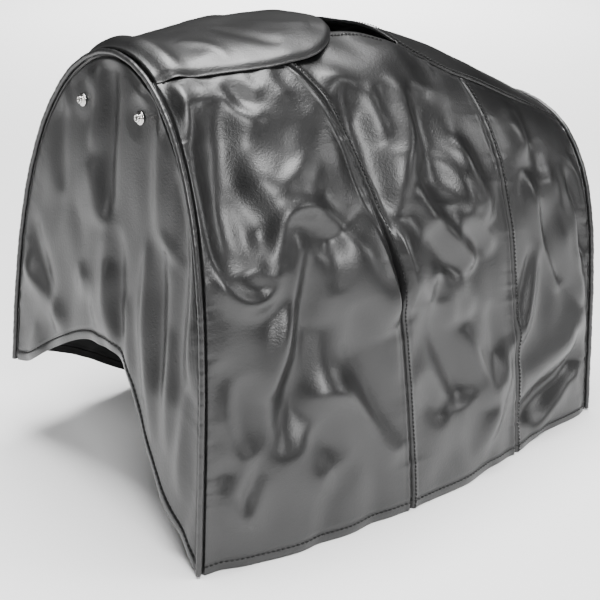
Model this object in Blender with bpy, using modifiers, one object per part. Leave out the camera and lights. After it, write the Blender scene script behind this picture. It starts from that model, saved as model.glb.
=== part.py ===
"""Fitted vinyl cover for two upright gas cylinders that stand side by side.

Frame: X runs along the cover from the front end panel (-X) to the rear end panel (+X),
Y runs across it and Z points up.  The origin is the middle of the footprint, on the ground.
Everything is in metres.

The skin is described by one function, skin_point(u, v): u runs from the front arch (0) to the
rear arch (1), and v runs round the arch from the near hem (0) over the ridge (0.5) to the far
hem (1).  Panels, bands, pipings and the flap are all cut from that surface.
"""

import math

import bmesh
import bpy
import numpy as np
from mathutils import Matrix, Vector

# ---------------------------------------------------------------- driving dimensions
LENGTH = 0.629            # front hem to rear hem, along X
WIDTH = 0.412             # between the hems at both ends, along Y
FRONT_LEAN = 0.1057       # how far the front end leans back for each metre of height
PLUMB_HEM = 0.015         # the lowest strip of the sides hangs plumb

# Arches from the front (0) to the rear (1): share of the length, ridge height, how far the
# hem bulges sideways, how much the sides lean in, and the two powers of the arch's outline.
ARCHES = (
    (0.00, 0.510, 0.000, 0.15, 2.0, 4.0),
    (0.12, 0.515, 0.022, 0.14, 2.5, 4.5),
    (0.30, 0.521, 0.034, 0.12, 3.0, 5.0),
    (0.48, 0.521, 0.042, 0.11, 3.0, 5.0),
    (0.66, 0.494, 0.034, 0.10, 3.0, 5.0),
    (0.83, 0.452, 0.012, 0.10, 3.0, 5.0),
    (1.00, 0.405, 0.000, 0.10, 3.0, 5.0),
)

VINYL = 0.0010            # thickness of the coated fabric
GAP = 0.0003              # clearance between touching pieces
CURVE_GAP = 0.0015        # clearance of a flat fitting on curved cloth
STRIP_CLEAR = 0.0007      # clearance along the roof strip, as a share of the arch's length
HEM_HEIGHT = 0.012
HEM_THICKNESS = 0.0012
HEM_INSET = 0.008         # the side hem bands stop this share of the length from the ends
BINDING_THICKNESS = 0.0010

PIPING_RADIUS = 0.00235
PIPING_CLEAR = PIPING_RADIUS + 0.0009   # from the piping's centre to the panels' edges
PIPING_WALL = 0.0006
PIPING_CORE_RADIUS = 0.0014
PIPING_TAIL = 0.003       # the cut ends stop this far above the hem

OPENING_HALF_WIDTH = 0.070
STRIP_HALF_WIDTH = 0.125  # the roof strip widens from the opening to this
WIDENING = (0.42, 0.67)   # shares of the length between which it widens
OPENING_REAR = 0.545      # share of the length where the roof opening ends
BINDING_WIDTH = 0.010

# Seams of the sides: share of the length at the hem, how far the seam moves towards the
# front at the roof strip, and the power of that curve.
SEAM_FRONT = (0.425, 0.200, 2.6)
SEAM_REAR = (0.735, 0.060, 3.0)

# Flap half widths, from the front seam (0) to its free end (1), before the end is rounded.
FLAP_WIDTHS = ((0.0, 0.074), (0.25, 0.092), (0.50, 0.106), (0.75, 0.108), (1.0, 0.100))
FLAP_LENGTH = 0.245
FLAP_START = 0.006        # the flap's fabric starts this far behind the piping's centre
FLAP_ROUND_FROM = 0.60    # share of the length where the free end begins to round
FLAP_LIFT_SEAM = 0.0030   # clearance over the skin at the seam and at the free end
FLAP_LIFT_END = 0.0064
LINING = 0.0008

# Lower edge of the front panel: (y, height), from the near corner to the hitched-up far one.
CUT_OUT = ((-0.206, 0.0), (-0.092, 0.107), (-0.055, 0.169), (0.012, 0.187),
           (0.115, 0.148), (0.180, 0.110), (0.206, 0.105))
FAR_CORNER_RISE = CUT_OUT[-1][1]
FAR_FLARE = 0.010         # the far front edge stands out a little more than the near one
ELASTIC_WIDTH = 0.006
ELASTIC_THICKNESS = 0.0008
FAR_RISE_END = 0.45       # share of the length where it is down again

STUD_HALF_SPACING = 0.058
STUD_HEIGHT = 0.4525
STUD_HOLE = 0.0022        # radius of the hole in the vinyl
BARREL = 0.0018           # radius of the rivet's barrel
BACKING = (0.150, 0.028, 0.0010)   # strip behind the studs: width, height, thickness
FLAP_SNAP = (0.155, 0.079)         # distance behind the front seam, and from the ridge

REAR_X = LENGTH / 2
FRONT_X = -LENGTH / 2

# ---------------------------------------------------------------- the skin
def smooth(table, place):
    """Smooth curve through a table whose first column is the place; returns the other columns."""
    table = np.array(table)
    places, values = table[:, 0], table[:, 1:]
    slopes = np.gradient(values, places, axis=0)
    index = int(np.clip(np.searchsorted(places, place) - 1, 0, len(places) - 2))
    width = places[index + 1] - places[index]
    t = (place - places[index]) / width
    rise = t * t * (3 - 2 * t)
    leave = t * (1 - t) ** 2 * width
    arrive = -t * t * (1 - t) * width
    blend = values[index] * (1 - rise) + values[index + 1] * rise
    return blend + slopes[index] * leave + slopes[index + 1] * arrive


def front_x(z):
    """Where the leaning front end stands at height z."""
    return FRONT_X + FRONT_LEAN * z


def arch(u, samples=160):
    """Outline of the cover at u: rows of (y, z) from the near hem to the far hem."""
    height, bulge, lean, power_y, power_z = smooth(ARCHES, u)
    turn = np.linspace(0, 1, samples) ** 2 * math.pi / 2
    rise = np.sin(turn) ** (2 / power_z)
    half = (WIDTH / 2 * (1 - lean * rise) * np.cos(turn).clip(0) ** (2 / power_y)
            + bulge * (1 - rise / 0.85).clip(0))
    near = np.column_stack((-half, PLUMB_HEM + (height - PLUMB_HEM) * rise))
    near = np.vstack(((near[0, 0], 0), near))
    far = near[-2::-1] * (-1, 1)
    flare = FAR_FLARE * max(1 - u / FAR_RISE_END, 0) ** 2
    far[:, 0] += flare * np.sin(math.pi * (far[:, 1] / height).clip(0, 1))
    return np.vstack((near, far))


def along(outline):
    """Running length of an outline, from 0 to 1."""
    steps = np.linalg.norm(np.diff(outline, axis=0), axis=1)
    length = np.concatenate(((0,), np.cumsum(steps)))
    return length / length[-1]


def skin_point(u, v):
    """The point of the skin at u, v."""
    outline = arch(u)
    share = along(outline)
    y = np.interp(v, share, outline[:, 0])
    z = np.interp(v, share, outline[:, 1])
    return Vector((front_x(z) * (1 - u) + REAR_X * u, y, z))


def skin_normal(u, v):
    """Outward direction of the skin at u, v."""
    step = 0.004
    low_u, high_u = max(u - step, 0), min(u + step, 1)
    low_v, high_v = max(v - step, 0), min(v + step, 1)
    across = skin_point(u, high_v) - skin_point(u, low_v)
    lengthwise = skin_point(high_u, v) - skin_point(low_u, v)
    return lengthwise.cross(across).normalized()


def v_at_half_width(u, half_width, side):
    """v of the roof point that lies half_width from the ridge; side is -1 near, +1 far."""
    outline = arch(u)
    share = along(outline)
    half = len(outline) // 2 + 1
    v_near = np.interp(half_width, -outline[:half, 0][::-1], share[:half][::-1])
    return float(v_near if side < 0 else 1 - v_near)


def v_at_height(u, z, side):
    """v of the side's point at height z."""
    outline = arch(u)
    half = len(outline) // 2 + 1
    v_near = np.interp(z, outline[:half, 1], along(outline)[:half])
    return float(v_near if side < 0 else 1 - v_near)


def far_hem_height(u):
    """Height of the far hem: hitched up at the front corner, down on the ground further back."""
    if u >= FAR_RISE_END:
        return 0.0
    return FAR_CORNER_RISE * 0.5 * (1 + math.cos(math.pi * u / FAR_RISE_END))


def hem_v(u, side):
    """v of the hem at u."""
    return 0.0 if side < 0 else v_at_height(u, far_hem_height(u), 1)


def strip_half_width(u):
    """Half width of the roof opening, and of the roof strip behind it."""
    t = min(max((u - WIDENING[0]) / (WIDENING[1] - WIDENING[0]), 0), 1)
    return OPENING_HALF_WIDTH + (STRIP_HALF_WIDTH - OPENING_HALF_WIDTH) * t * t * (3 - 2 * t)


def strip_v(u, side):
    """v of the roof strip's edge at u."""
    return v_at_half_width(u, strip_half_width(u), side)


def seam_u(seam, down):
    """u of a side seam; down runs from the hem (0) to the roof strip (1)."""
    foot, shift, power = seam
    return foot - shift * down ** power


# ---------------------------------------------------------------- materials and collections
def material(name, grey, roughness, metallic=0.0):
    """A Principled material of a neutral grey."""
    made = bpy.data.materials.new(name)
    made.use_nodes = True
    shader = made.node_tree.nodes["Principled BSDF"]
    shader.inputs["Base Color"].default_value = (grey, grey, grey, 1)
    shader.inputs["Roughness"].default_value = roughness
    shader.inputs["Metallic"].default_value = metallic
    return made


def clear_scene():
    """Remove what the start-up file holds."""
    for thing in list(bpy.data.objects):
        bpy.data.objects.remove(thing)


def collection(name):
    """A collection under the scene."""
    made = bpy.data.collections.new(name)
    bpy.context.scene.collection.children.link(made)
    return made


def add(name, data, finish, home):
    """Link a named object with one material."""
    thing = bpy.data.objects.new(name, data)
    data.materials.append(finish)
    home.objects.link(thing)
    return thing


# ---------------------------------------------------------------- shapes
def grid_mesh(name, rows):
    """An open surface through rows of points."""
    mesh = bmesh.new()
    verts = [[mesh.verts.new(point) for point in row] for row in rows]
    for low, high in zip(verts, verts[1:]):
        for left in range(len(low) - 1):
            mesh.faces.new((low[left], low[left + 1], high[left + 1], high[left]))
    data = bpy.data.meshes.new(name)
    mesh.to_mesh(data)
    mesh.free()
    data.shade_smooth()
    return data


def shell(name, rows, thickness, finish, home):
    """A sheet that follows rows of points and thickens away from its front side."""
    sheet = add(name, grid_mesh(name, rows), finish, home)
    solid = sheet.modifiers.new("thickness", "SOLIDIFY")
    solid.thickness = thickness
    solid.offset = -1
    solid.use_even_offset = True
    return sheet


def skin_rows(u_edges, v_edges, columns, lines):
    """Rows of skin points between two u edges and two v edges, closer together at the roof."""
    rows = []
    for line in range(lines + 1):
        row = []
        down = 1 - (1 - line / lines) ** 1.6
        for column in range(columns + 1):
            across = column / columns
            u_guess = u_edges[0](down) * (1 - across) + u_edges[1](down) * across
            v = v_edges[0](u_guess) * (1 - down) + v_edges[1](u_guess) * down
            row.append(skin_point(u_guess, v))
        rows.append(row)
    return rows


def flat_plate(name, outline, thickness, finish, home):
    """A plate from a flat outline of (y, up) pairs, standing square to X."""
    curve = bpy.data.curves.new(name, "CURVE")
    curve.dimensions = "2D"
    curve.fill_mode = "BOTH"
    curve.extrude = thickness / 2
    spline = curve.splines.new("POLY")
    spline.points.add(len(outline) - 1)
    spline.use_cyclic_u = True
    for point, (y, up) in zip(spline.points, outline):
        point.co = (y, up, 0, 1)
    return add(name, curve, finish, home)


def stand_up(plate, x, lean):
    """Turn a flat plate upright, square to X, with its foot at x and leaning back."""
    upright = Matrix(((0, 0, 1), (1, 0, 0), (0, 1, 0))).to_4x4()
    tilt = Matrix.Rotation(math.atan(lean), 4, "Y")
    plate.matrix_world = Matrix.Translation((x, 0, 0)) @ tilt @ upright


def tube(name, points, radius, sides, finish, home, capped=True):
    """A round tube along a polyline."""
    curve = bpy.data.curves.new(name, "CURVE")
    curve.dimensions = "3D"
    curve.bevel_depth = radius
    curve.bevel_resolution = (sides - 4) // 2
    curve.use_fill_caps = capped
    spline = curve.splines.new("POLY")
    spline.points.add(len(points) - 1)
    for knot, point in zip(spline.points, points):
        knot.co = (*point, 1)
    return add(name, curve, finish, home)


def as_mesh(thing):
    """Replace a curve object by the same shape as a mesh, with its seams welded."""
    evaluated = thing.evaluated_get(bpy.context.evaluated_depsgraph_get())
    data = bpy.data.meshes.new_from_object(evaluated)
    name = thing.name
    mesh = bmesh.new()
    mesh.from_mesh(data)
    bmesh.ops.remove_doubles(mesh, verts=mesh.verts, dist=0.00001)
    mesh.to_mesh(data)
    mesh.free()
    made = bpy.data.objects.new("mesh", data)
    made.matrix_world = thing.matrix_world
    thing.users_collection[0].objects.link(made)
    bpy.data.objects.remove(thing)
    made.name = name
    return made


def turned(name, profile, place, finish, home, steps=20):
    """A turned piece: profile pairs of (radius, height) run from the top down the outside."""
    data = bpy.data.meshes.new(name)
    mesh = bmesh.new()
    verts = [mesh.verts.new((radius, 0, height)) for radius, height in profile]
    for first, second in zip(verts, verts[1:]):
        mesh.edges.new((first, second))
    mesh.to_mesh(data)
    mesh.free()
    piece = add(name, data, finish, home)
    screw = piece.modifiers.new("turn", "SCREW")
    screw.steps = steps
    screw.render_steps = steps
    screw.use_merge_vertices = True
    screw.merge_threshold = 0.00001
    piece.matrix_world = place
    return piece


# ---------------------------------------------------------------- the pieces
def side_pieces(side, name, finishes, home):
    """Three gores of one side, cut at the two seams, and the hem band inside them."""
    edge = PIPING_CLEAR / LENGTH
    clear = GAP / LENGTH
    seams = (
        lambda down: edge,
        lambda down: seam_u(SEAM_FRONT, down),
        lambda down: seam_u(SEAM_REAR, down),
        lambda down: 1 - edge,
    )
    for index, part_name in enumerate(("front", "middle", "rear")):
        start, end = seams[index], seams[index + 1]
        u_edges = (
            lambda down, start=start, index=index: start(down) + (clear if index else 0),
            lambda down, end=end, index=index: end(down) - (clear if index < 2 else 0),
        )
        v_edges = (
            lambda u: hem_v(u, side),
            lambda u: strip_v(u, side) + STRIP_CLEAR * side,
        )
        rows = skin_rows(u_edges, v_edges, 9, 16)
        if side > 0:
            rows = rows[::-1]
        shell(f"{name}_gore_{part_name}", rows, VINYL, finishes["vinyl"], home)
    rows = []
    for line in (0, 1):
        row = []
        for u in np.linspace(HEM_INSET, 1 - HEM_INSET, 26):
            v = hem_v(u, side)
            if line:
                v = v_at_height(u, (far_hem_height(u) if side > 0 else 0) + HEM_HEIGHT, side)
            row.append(skin_point(u, v) - skin_normal(u, v) * (VINYL + CURVE_GAP))
        rows.append(row)
    if side > 0:
        rows = rows[::-1]
    shell(f"{name}_hem_band", rows, HEM_THICKNESS, finishes["backing"], home)


def inset(outline, distance):
    """An outline moved to its inner side, which is on the right as it runs."""
    slopes = np.gradient(outline, axis=0)
    slopes /= np.linalg.norm(slopes, axis=1)[:, None]
    return outline + np.column_stack((slopes[:, 1], -slopes[:, 0])) * distance


def resampled(outline, v_start, v_end, count):
    """Evenly spaced points of an outline between two shares of its length."""
    share = along(outline)
    places = np.linspace(v_start, v_end, count)
    y = np.interp(places, share, outline[:, 0])
    z = np.interp(places, share, outline[:, 1])
    return np.column_stack((y, z))


def cut_out_edge(count):
    """Lower edge of the front panel from near to far, clear of the pipings."""
    clear = PIPING_CLEAR
    places = np.linspace(CUT_OUT[0][0] + clear, CUT_OUT[-1][0] - clear, count)
    return np.array([(y, smooth(CUT_OUT, y)[0]) for y in places])


def on_lean(outline):
    """Heights turned into lengths along the leaning front end."""
    return outline * (1, math.hypot(1, FRONT_LEAN))


def front_end(finishes, home, cutters):
    """Front panel with its cut-out, hem band, elastic, stud backing and the holes for studs."""
    arch_edge = inset(resampled(arch(0), 0, hem_v(0, 1), 48), PIPING_CLEAR)
    lower = cut_out_edge(30)
    arch_edge = arch_edge[arch_edge[:, 1] > 0.012]
    arch_edge = arch_edge[(arch_edge[:, 0] < 0) | (arch_edge[:, 1] > FAR_CORNER_RISE + 0.006)]
    far_corner = (arch_edge[-1, 0], lower[-1, 1])
    outline = np.vstack((arch_edge, far_corner, lower[lower[:, 0] < far_corner[0]][::-1]))
    panel = flat_plate("front_end_panel", on_lean(outline), VINYL, finishes["vinyl"], home)
    stand_up(panel, FRONT_X, FRONT_LEAN)
    panel = as_mesh(panel)

    layers = VINYL / 2 + GAP
    tape = lower[2:-2]
    bottom = inset(tape, -0.003)
    elastic_outline = np.vstack((bottom, inset(tape, -0.003 - ELASTIC_WIDTH)[::-1]))
    elastic = flat_plate("front_hem_elastic", on_lean(elastic_outline), ELASTIC_THICKNESS,
                         finishes["elastic"], home)
    stand_up(elastic, FRONT_X + layers + ELASTIC_THICKNESS / 2, FRONT_LEAN)
    layers += ELASTIC_THICKNESS + GAP
    hem_outline = np.vstack((tape, inset(tape, -HEM_HEIGHT)[::-1]))
    hem = flat_plate("front_hem_band", on_lean(hem_outline), HEM_THICKNESS,
                     finishes["backing"], home)
    stand_up(hem, FRONT_X + layers + HEM_THICKNESS / 2, FRONT_LEAN)

    half_width, half_height = BACKING[0] / 2, BACKING[1] / 2
    corners = np.array(((-half_width, -half_height), (-half_width, half_height),
                        (half_width, half_height), (half_width, -half_height)))
    backing = flat_plate("stud_backing_strip", on_lean(corners + (0, STUD_HEIGHT)), BACKING[2],
                         finishes["backing"], home)
    stand_up(backing, FRONT_X + VINYL / 2 + GAP + BACKING[2] / 2, FRONT_LEAN)
    backing = as_mesh(backing)

    outward = Matrix.Rotation(math.atan(FRONT_LEAN) - math.pi / 2, 4, "Y")
    for name, y in (("near", -STUD_HALF_SPACING), ("far", STUD_HALF_SPACING)):
        spot = Matrix.Translation((front_x(STUD_HEIGHT), y, STUD_HEIGHT)) @ outward
        hole = drill(f"{name}_stud_hole", spot, STUD_HOLE, finishes["vinyl"], cutters)
        cut(panel, hole)
        cut(backing, hole)
        face = Matrix.Translation((0, 0, VINYL / 2 + GAP))
        turned(f"{name}_snap_stud", STUD_PROFILE, spot @ face, finishes["nickel"], home)
        back = VINYL / 2 + GAP + BACKING[2] + GAP
        rivet = rivet_profile(0.0060, back + VINYL / 2 + 0.0022)
        turned(f"{name}_stud_rivet", rivet, spot @ Matrix.Translation((0, 0, -back)),
               finishes["nickel"], home)


# Profiles are pairs of (radius, height).  The stud is a ring, so its profile is closed.
STUD_PROFILE = (
    (0.0022, 0.0052), (0.0036, 0.0052), (0.0043, 0.0045), (0.0044, 0.0036), (0.0038, 0.0026),
    (0.0038, 0.0014), (0.0066, 0.0011), (0.0075, 0.0005), (0.0075, 0.0), (0.0022, 0.0),
    (0.0022, 0.0052),
)
SOCKET_PROFILE = (
    (0.0022, 0.0), (0.0058, 0.0), (0.0062, -0.0005), (0.0062, -0.0014), (0.0058, -0.0018),
    (0.0050, -0.0018), (0.0050, -0.0008), (0.0022, -0.0008), (0.0022, 0.0),
)


def rivet_profile(head, length):
    """A flat-headed rivet behind the cloth, its barrel pointing up."""
    return ((0, length), (BARREL, length), (BARREL, 0.0), (head, 0.0), (head, -0.0006),
            (head - 0.0008, -0.0012), (0, -0.0012))


def cap_profile(barrel):
    """A domed snap cap with a barrel that reaches down through the cloth."""
    return ((0, 0.0021), (0.0030, 0.0019), (0.0056, 0.0013), (0.0072, 0.0005), (0.0075, 0.0),
            (BARREL, 0.0), (BARREL, -barrel), (0, -barrel))


def drill(name, place, radius, finish, cutters):
    """A hidden cylinder that bores a hole along the place's Z axis."""
    data = bpy.data.meshes.new(name)
    mesh = bmesh.new()
    bmesh.ops.create_cone(mesh, cap_ends=True, segments=16, radius1=radius, radius2=radius,
                          depth=0.02)
    mesh.to_mesh(data)
    mesh.free()
    cutter = add(name, data, finish, cutters)
    cutter.matrix_world = place
    cutter.hide_render = True
    cutter.display_type = "WIRE"
    return cutter


def cut(piece, cutter):
    """Take a cutter out of a piece."""
    boolean = piece.modifiers.new("hole", "BOOLEAN")
    boolean.operation = "DIFFERENCE"
    boolean.solver = "EXACT"
    boolean.object = cutter


def rear_end(finishes, home):
    """Rear panel, square to X, and the hem band inside it."""
    arch_edge = inset(resampled(arch(1), 0, 1, 48), PIPING_CLEAR)
    arch_edge[0, 1] = arch_edge[-1, 1] = 0.0
    panel = flat_plate("rear_end_panel", arch_edge, VINYL, finishes["vinyl"], home)
    stand_up(panel, REAR_X, 0)
    half = WIDTH / 2 - 0.0045
    strip = np.array(((-half, 0), (-half, HEM_HEIGHT), (half, HEM_HEIGHT), (half, 0)))
    hem = flat_plate("rear_hem_band", strip, HEM_THICKNESS, finishes["backing"], home)
    stand_up(hem, REAR_X - VINYL / 2 - GAP - HEM_THICKNESS / 2, 0)


def piping(name, u, v_end, finishes, home):
    """Welt cord round one arch: a vinyl sleeve on a round core."""
    outline = resampled(arch(u), 0, v_end, 44)
    outline = np.vstack(((outline[0, 0], PIPING_TAIL), outline[1:]))
    points = [Vector((front_x(z) * (1 - u) + REAR_X * u, y, z)) for y, z in outline]
    sleeve = as_mesh(tube(f"{name}_piping_sleeve", points, PIPING_RADIUS, 8,
                          finishes["vinyl"], home, capped=False))
    wall = sleeve.modifiers.new("wall", "SOLIDIFY")
    wall.thickness = PIPING_WALL
    wall.offset = -1
    tube(f"{name}_piping_core", points, PIPING_CORE_RADIUS, 6, finishes["cord"], home)


def roof(finishes, home):
    """Roof strip behind the opening, and the bindings round the opening."""
    edge = PIPING_CLEAR / LENGTH
    rows = []
    for line in range(9):
        across = line / 8
        row = []
        for u in np.linspace(OPENING_REAR, 1 - edge, 15):
            low, high = strip_v(u, -1) + STRIP_CLEAR, strip_v(u, 1) - STRIP_CLEAR
            row.append(skin_point(u, low * (1 - across) + high * across))
        rows.append(row)
    shell("roof_strip", rows, VINYL, finishes["vinyl"], home)

    under = VINYL + CURVE_GAP
    start = 0.02
    for name, side in (("near", -1), ("far", 1)):
        rows = []
        for outer in (0, 1):
            row = []
            for u in np.linspace(start, OPENING_REAR - 0.03, 14):
                half = strip_half_width(u) + 0.001 + outer * BINDING_WIDTH
                v = v_at_half_width(u, half, side)
                row.append(skin_point(u, v) - skin_normal(u, v) * under)
            rows.append(row)
        if side < 0:
            rows = rows[::-1]
        shell(f"opening_binding_{name}", rows, BINDING_THICKNESS, finishes["backing"], home)
    rows = []
    for across in np.linspace(0.04, 0.96, 11):
        row = []
        for u in (OPENING_REAR + 0.001, OPENING_REAR + 0.001 + BINDING_WIDTH / LENGTH):
            v = strip_v(u, -1) * (1 - across) + strip_v(u, 1) * across
            row.append(skin_point(u, v) - skin_normal(u, v) * under)
        rows.append(row)
    shell("opening_binding_rear", rows, BINDING_THICKNESS, finishes["backing"], home)


def flap_point(t, across, drop=0.0):
    """A point of the flap: t runs from the seam (0) to the free end (1), across from -1 to 1."""
    half = smooth(FLAP_WIDTHS, t)[0]
    if t > FLAP_ROUND_FROM:
        half *= (1 - ((t - FLAP_ROUND_FROM) / (1 - FLAP_ROUND_FROM)) ** 3.2) ** 0.5
    u = (FLAP_START + t * FLAP_LENGTH) / (REAR_X - front_x(ARCHES[0][1]))
    v = 0.5 + (v_at_half_width(u, half, 1) - 0.5) * across
    lift = FLAP_LIFT_SEAM + (FLAP_LIFT_END - FLAP_LIFT_SEAM) * min(t * 2.5, 1)
    return skin_point(u, v) + skin_normal(u, v) * (lift - drop)


def flap(finishes, home, cutters):
    """Access flap with its lining, and the snap at its far side."""
    lines = list(np.linspace(0, 0.6, 7)) + [0.7, 0.79, 0.87, 0.93, 0.97, 0.992]
    across = np.linspace(-1, 1, 13)
    outer = [[flap_point(t, a, 0.0) for t in lines] for a in across]
    inner = [[flap_point(t, a, VINYL + GAP) for t in lines] for a in across]
    top = shell("access_flap", outer, VINYL, finishes["vinyl"], home)
    lining = shell("access_flap_lining", inner, LINING, finishes["backing"], home)

    distance, half = FLAP_SNAP
    u = (FLAP_START + distance) / (REAR_X - front_x(ARCHES[0][1]))
    v = v_at_half_width(u, half, 1)
    normal = skin_normal(u, v)
    lift = FLAP_LIFT_END
    turn = normal.to_track_quat("Z", "Y").to_matrix().to_4x4()
    skin_spot = Matrix.Translation(skin_point(u, v)) @ turn
    flap_spot = skin_spot @ Matrix.Translation((0, 0, lift))
    hole = drill("flap_snap_hole", flap_spot, STUD_HOLE, finishes["vinyl"], cutters)
    cut(top, hole)
    cut(lining, hole)
    below = VINYL + GAP + LINING + CURVE_GAP
    turned("flap_snap_cap", cap_profile(below + 0.0012),
           flap_spot @ Matrix.Translation((0, 0, CURVE_GAP)), finishes["nickel"], home)
    turned("flap_snap_socket", SOCKET_PROFILE,
           flap_spot @ Matrix.Translation((0, 0, -below)), finishes["nickel"], home)


def build():
    """Make every piece of the cover."""
    clear_scene()
    home = collection("gas_cylinder_cover")
    cutters = collection("cutters")
    finishes = {
        "vinyl": material("black_vinyl", 0.030, 0.38),
        "backing": material("woven_backing", 0.012, 0.85),
        "elastic": material("elastic", 0.020, 0.80),
        "cord": material("piping_cord", 0.040, 0.60),
        "nickel": material("nickel_plate", 0.750, 0.18, 1.0),
    }
    front_end(finishes, home, cutters)
    rear_end(finishes, home)
    side_pieces(-1, "near", finishes, home)
    side_pieces(1, "far", finishes, home)
    roof(finishes, home)
    flap(finishes, home, cutters)
    piping("front", 0, hem_v(0, 1), finishes, home)
    piping("rear", 1, v_at_height(1, PIPING_TAIL, 1), finishes, home)


build()
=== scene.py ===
"""Looks of the fitted vinyl cover for two gas cylinders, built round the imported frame."""
import math

import bpy
import numpy as np
from mathutils import Matrix, Vector, noise


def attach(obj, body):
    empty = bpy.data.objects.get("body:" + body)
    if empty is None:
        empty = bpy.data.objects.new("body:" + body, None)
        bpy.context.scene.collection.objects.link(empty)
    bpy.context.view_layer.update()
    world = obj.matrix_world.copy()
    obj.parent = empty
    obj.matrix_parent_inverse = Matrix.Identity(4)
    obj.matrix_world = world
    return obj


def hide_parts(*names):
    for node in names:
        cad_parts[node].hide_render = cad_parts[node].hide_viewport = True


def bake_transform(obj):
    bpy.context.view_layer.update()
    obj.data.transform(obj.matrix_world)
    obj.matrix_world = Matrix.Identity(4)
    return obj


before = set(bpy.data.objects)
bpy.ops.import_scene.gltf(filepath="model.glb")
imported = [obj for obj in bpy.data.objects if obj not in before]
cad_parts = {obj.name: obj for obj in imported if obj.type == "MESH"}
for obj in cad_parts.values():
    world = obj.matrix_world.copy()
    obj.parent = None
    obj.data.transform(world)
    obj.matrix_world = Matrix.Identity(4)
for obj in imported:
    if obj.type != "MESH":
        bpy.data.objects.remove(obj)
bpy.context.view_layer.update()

# ---------------------------------------------------------------- the cover's shape, as in the CAD
LENGTH = 0.629
WIDTH = 0.412
FRONT_LEAN = 0.1057
PLUMB_HEM = 0.015
ARCHES = np.array((
    (0.00, 0.510, 0.000, 0.15, 2.0, 4.0),
    (0.12, 0.515, 0.022, 0.14, 2.5, 4.5),
    (0.30, 0.521, 0.034, 0.12, 3.0, 5.0),
    (0.48, 0.521, 0.042, 0.11, 3.0, 5.0),
    (0.66, 0.494, 0.034, 0.10, 3.0, 5.0),
    (0.83, 0.452, 0.012, 0.10, 3.0, 5.0),
    (1.00, 0.405, 0.000, 0.10, 3.0, 5.0),
))
CUT_OUT = np.array(((-0.206, 0.0), (-0.092, 0.107), (-0.055, 0.169), (0.012, 0.187),
                    (0.115, 0.148), (0.180, 0.110), (0.206, 0.105)))
FAR_CORNER_RISE = CUT_OUT[-1, 1]
FAR_RISE_END = 0.45
FAR_FLARE = 0.010
OPENING_HALF_WIDTH = 0.070
STRIP_HALF_WIDTH = 0.125
OPENING_REAR = 0.545
SEAM_FRONT = (0.425, 0.200, 2.6)
SEAM_REAR = (0.735, 0.060, 3.0)
FLAP_WIDTHS = np.array(((0.0, 0.074), (0.25, 0.092), (0.50, 0.106), (0.75, 0.108), (1.0, 0.100)))
FLAP_LENGTH = 0.245
FLAP_START = 0.006
FLAP_ROUND_FROM = 0.60
FLAP_LIFT_SEAM = 0.0030
FLAP_LIFT_END = 0.0064
PIPING_RADIUS = 0.00235
PIPING_TAIL = 0.003
VINYL = 0.0010
REAR_X = LENGTH / 2
FRONT_X = -LENGTH / 2
STUDS = ((-0.058, 0.4525), (0.058, 0.4525))
ROOF_LENGTH = REAR_X - (FRONT_X + FRONT_LEAN * ARCHES[0, 1])

TABLE_U = 321             # grid of the skin's tables
TABLE_V = 801


def smooth(table, place):
    """Smooth curve through a table whose first column is the place."""
    places, values = table[:, 0], table[:, 1:]
    slopes = np.gradient(values, places, axis=0)
    index = int(np.clip(np.searchsorted(places, place) - 1, 0, len(places) - 2))
    width = places[index + 1] - places[index]
    t = (place - places[index]) / width
    rise = t * t * (3 - 2 * t)
    leave = t * (1 - t) ** 2 * width
    arrive = -t * t * (1 - t) * width
    blend = values[index] * (1 - rise) + values[index + 1] * rise
    return blend + slopes[index] * leave + slopes[index + 1] * arrive


def arch(u, samples=260):
    """Outline of the cover at u: rows of (y, z) from the near hem to the far hem."""
    height, bulge, lean, power_y, power_z = smooth(ARCHES, u)
    turn = np.linspace(0, 1, samples) ** 2 * math.pi / 2
    rise = np.sin(turn) ** (2 / power_z)
    half = (WIDTH / 2 * (1 - lean * rise) * np.cos(turn).clip(0) ** (2 / power_y)
            + bulge * (1 - rise / 0.85).clip(0))
    near = np.column_stack((-half, PLUMB_HEM + (height - PLUMB_HEM) * rise))
    near = np.vstack(((near[0, 0], 0), near))
    far = near[-2::-1] * (-1, 1)
    flare = FAR_FLARE * max(1 - u / FAR_RISE_END, 0) ** 2
    far[:, 0] += flare * np.sin(math.pi * (far[:, 1] / height).clip(0, 1))
    return np.vstack((near, far))


def along(outline):
    """Running length of an outline, from 0 to 1."""
    steps = np.linalg.norm(np.diff(outline, axis=0), axis=1)
    length = np.concatenate(((0,), np.cumsum(steps)))
    return length / length[-1]


def make_tables():
    """Points and outward normals of the whole skin on a fine grid of u and v."""
    points = np.zeros((TABLE_U, TABLE_V, 3))
    shares = np.linspace(0, 1, TABLE_V)
    for i, u in enumerate(np.linspace(0, 1, TABLE_U)):
        outline = arch(u)
        share = along(outline)
        y = np.interp(shares, share, outline[:, 0])
        z = np.interp(shares, share, outline[:, 1])
        x = (FRONT_X + FRONT_LEAN * z) * (1 - u) + REAR_X * u
        points[i] = np.column_stack((x, y, z))
    normals = np.cross(np.gradient(points, axis=0), np.gradient(points, axis=1))
    normals /= np.linalg.norm(normals, axis=2, keepdims=True)
    return points, normals


SKIN, NORMALS = make_tables()


def between(table, a, b):
    """Values of a table between its rows and columns, at arrays of row a and column b."""
    i = np.minimum(a.astype(int), table.shape[0] - 2)
    j = np.minimum(b.astype(int), table.shape[1] - 2)
    a, b = a - i, b - j
    if table.ndim > 2:
        a, b = a[..., None], b[..., None]
    low = table[i, j] * (1 - a) + table[i + 1, j] * a
    high = table[i, j + 1] * (1 - a) + table[i + 1, j + 1] * a
    return low * (1 - b) + high * b


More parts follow.
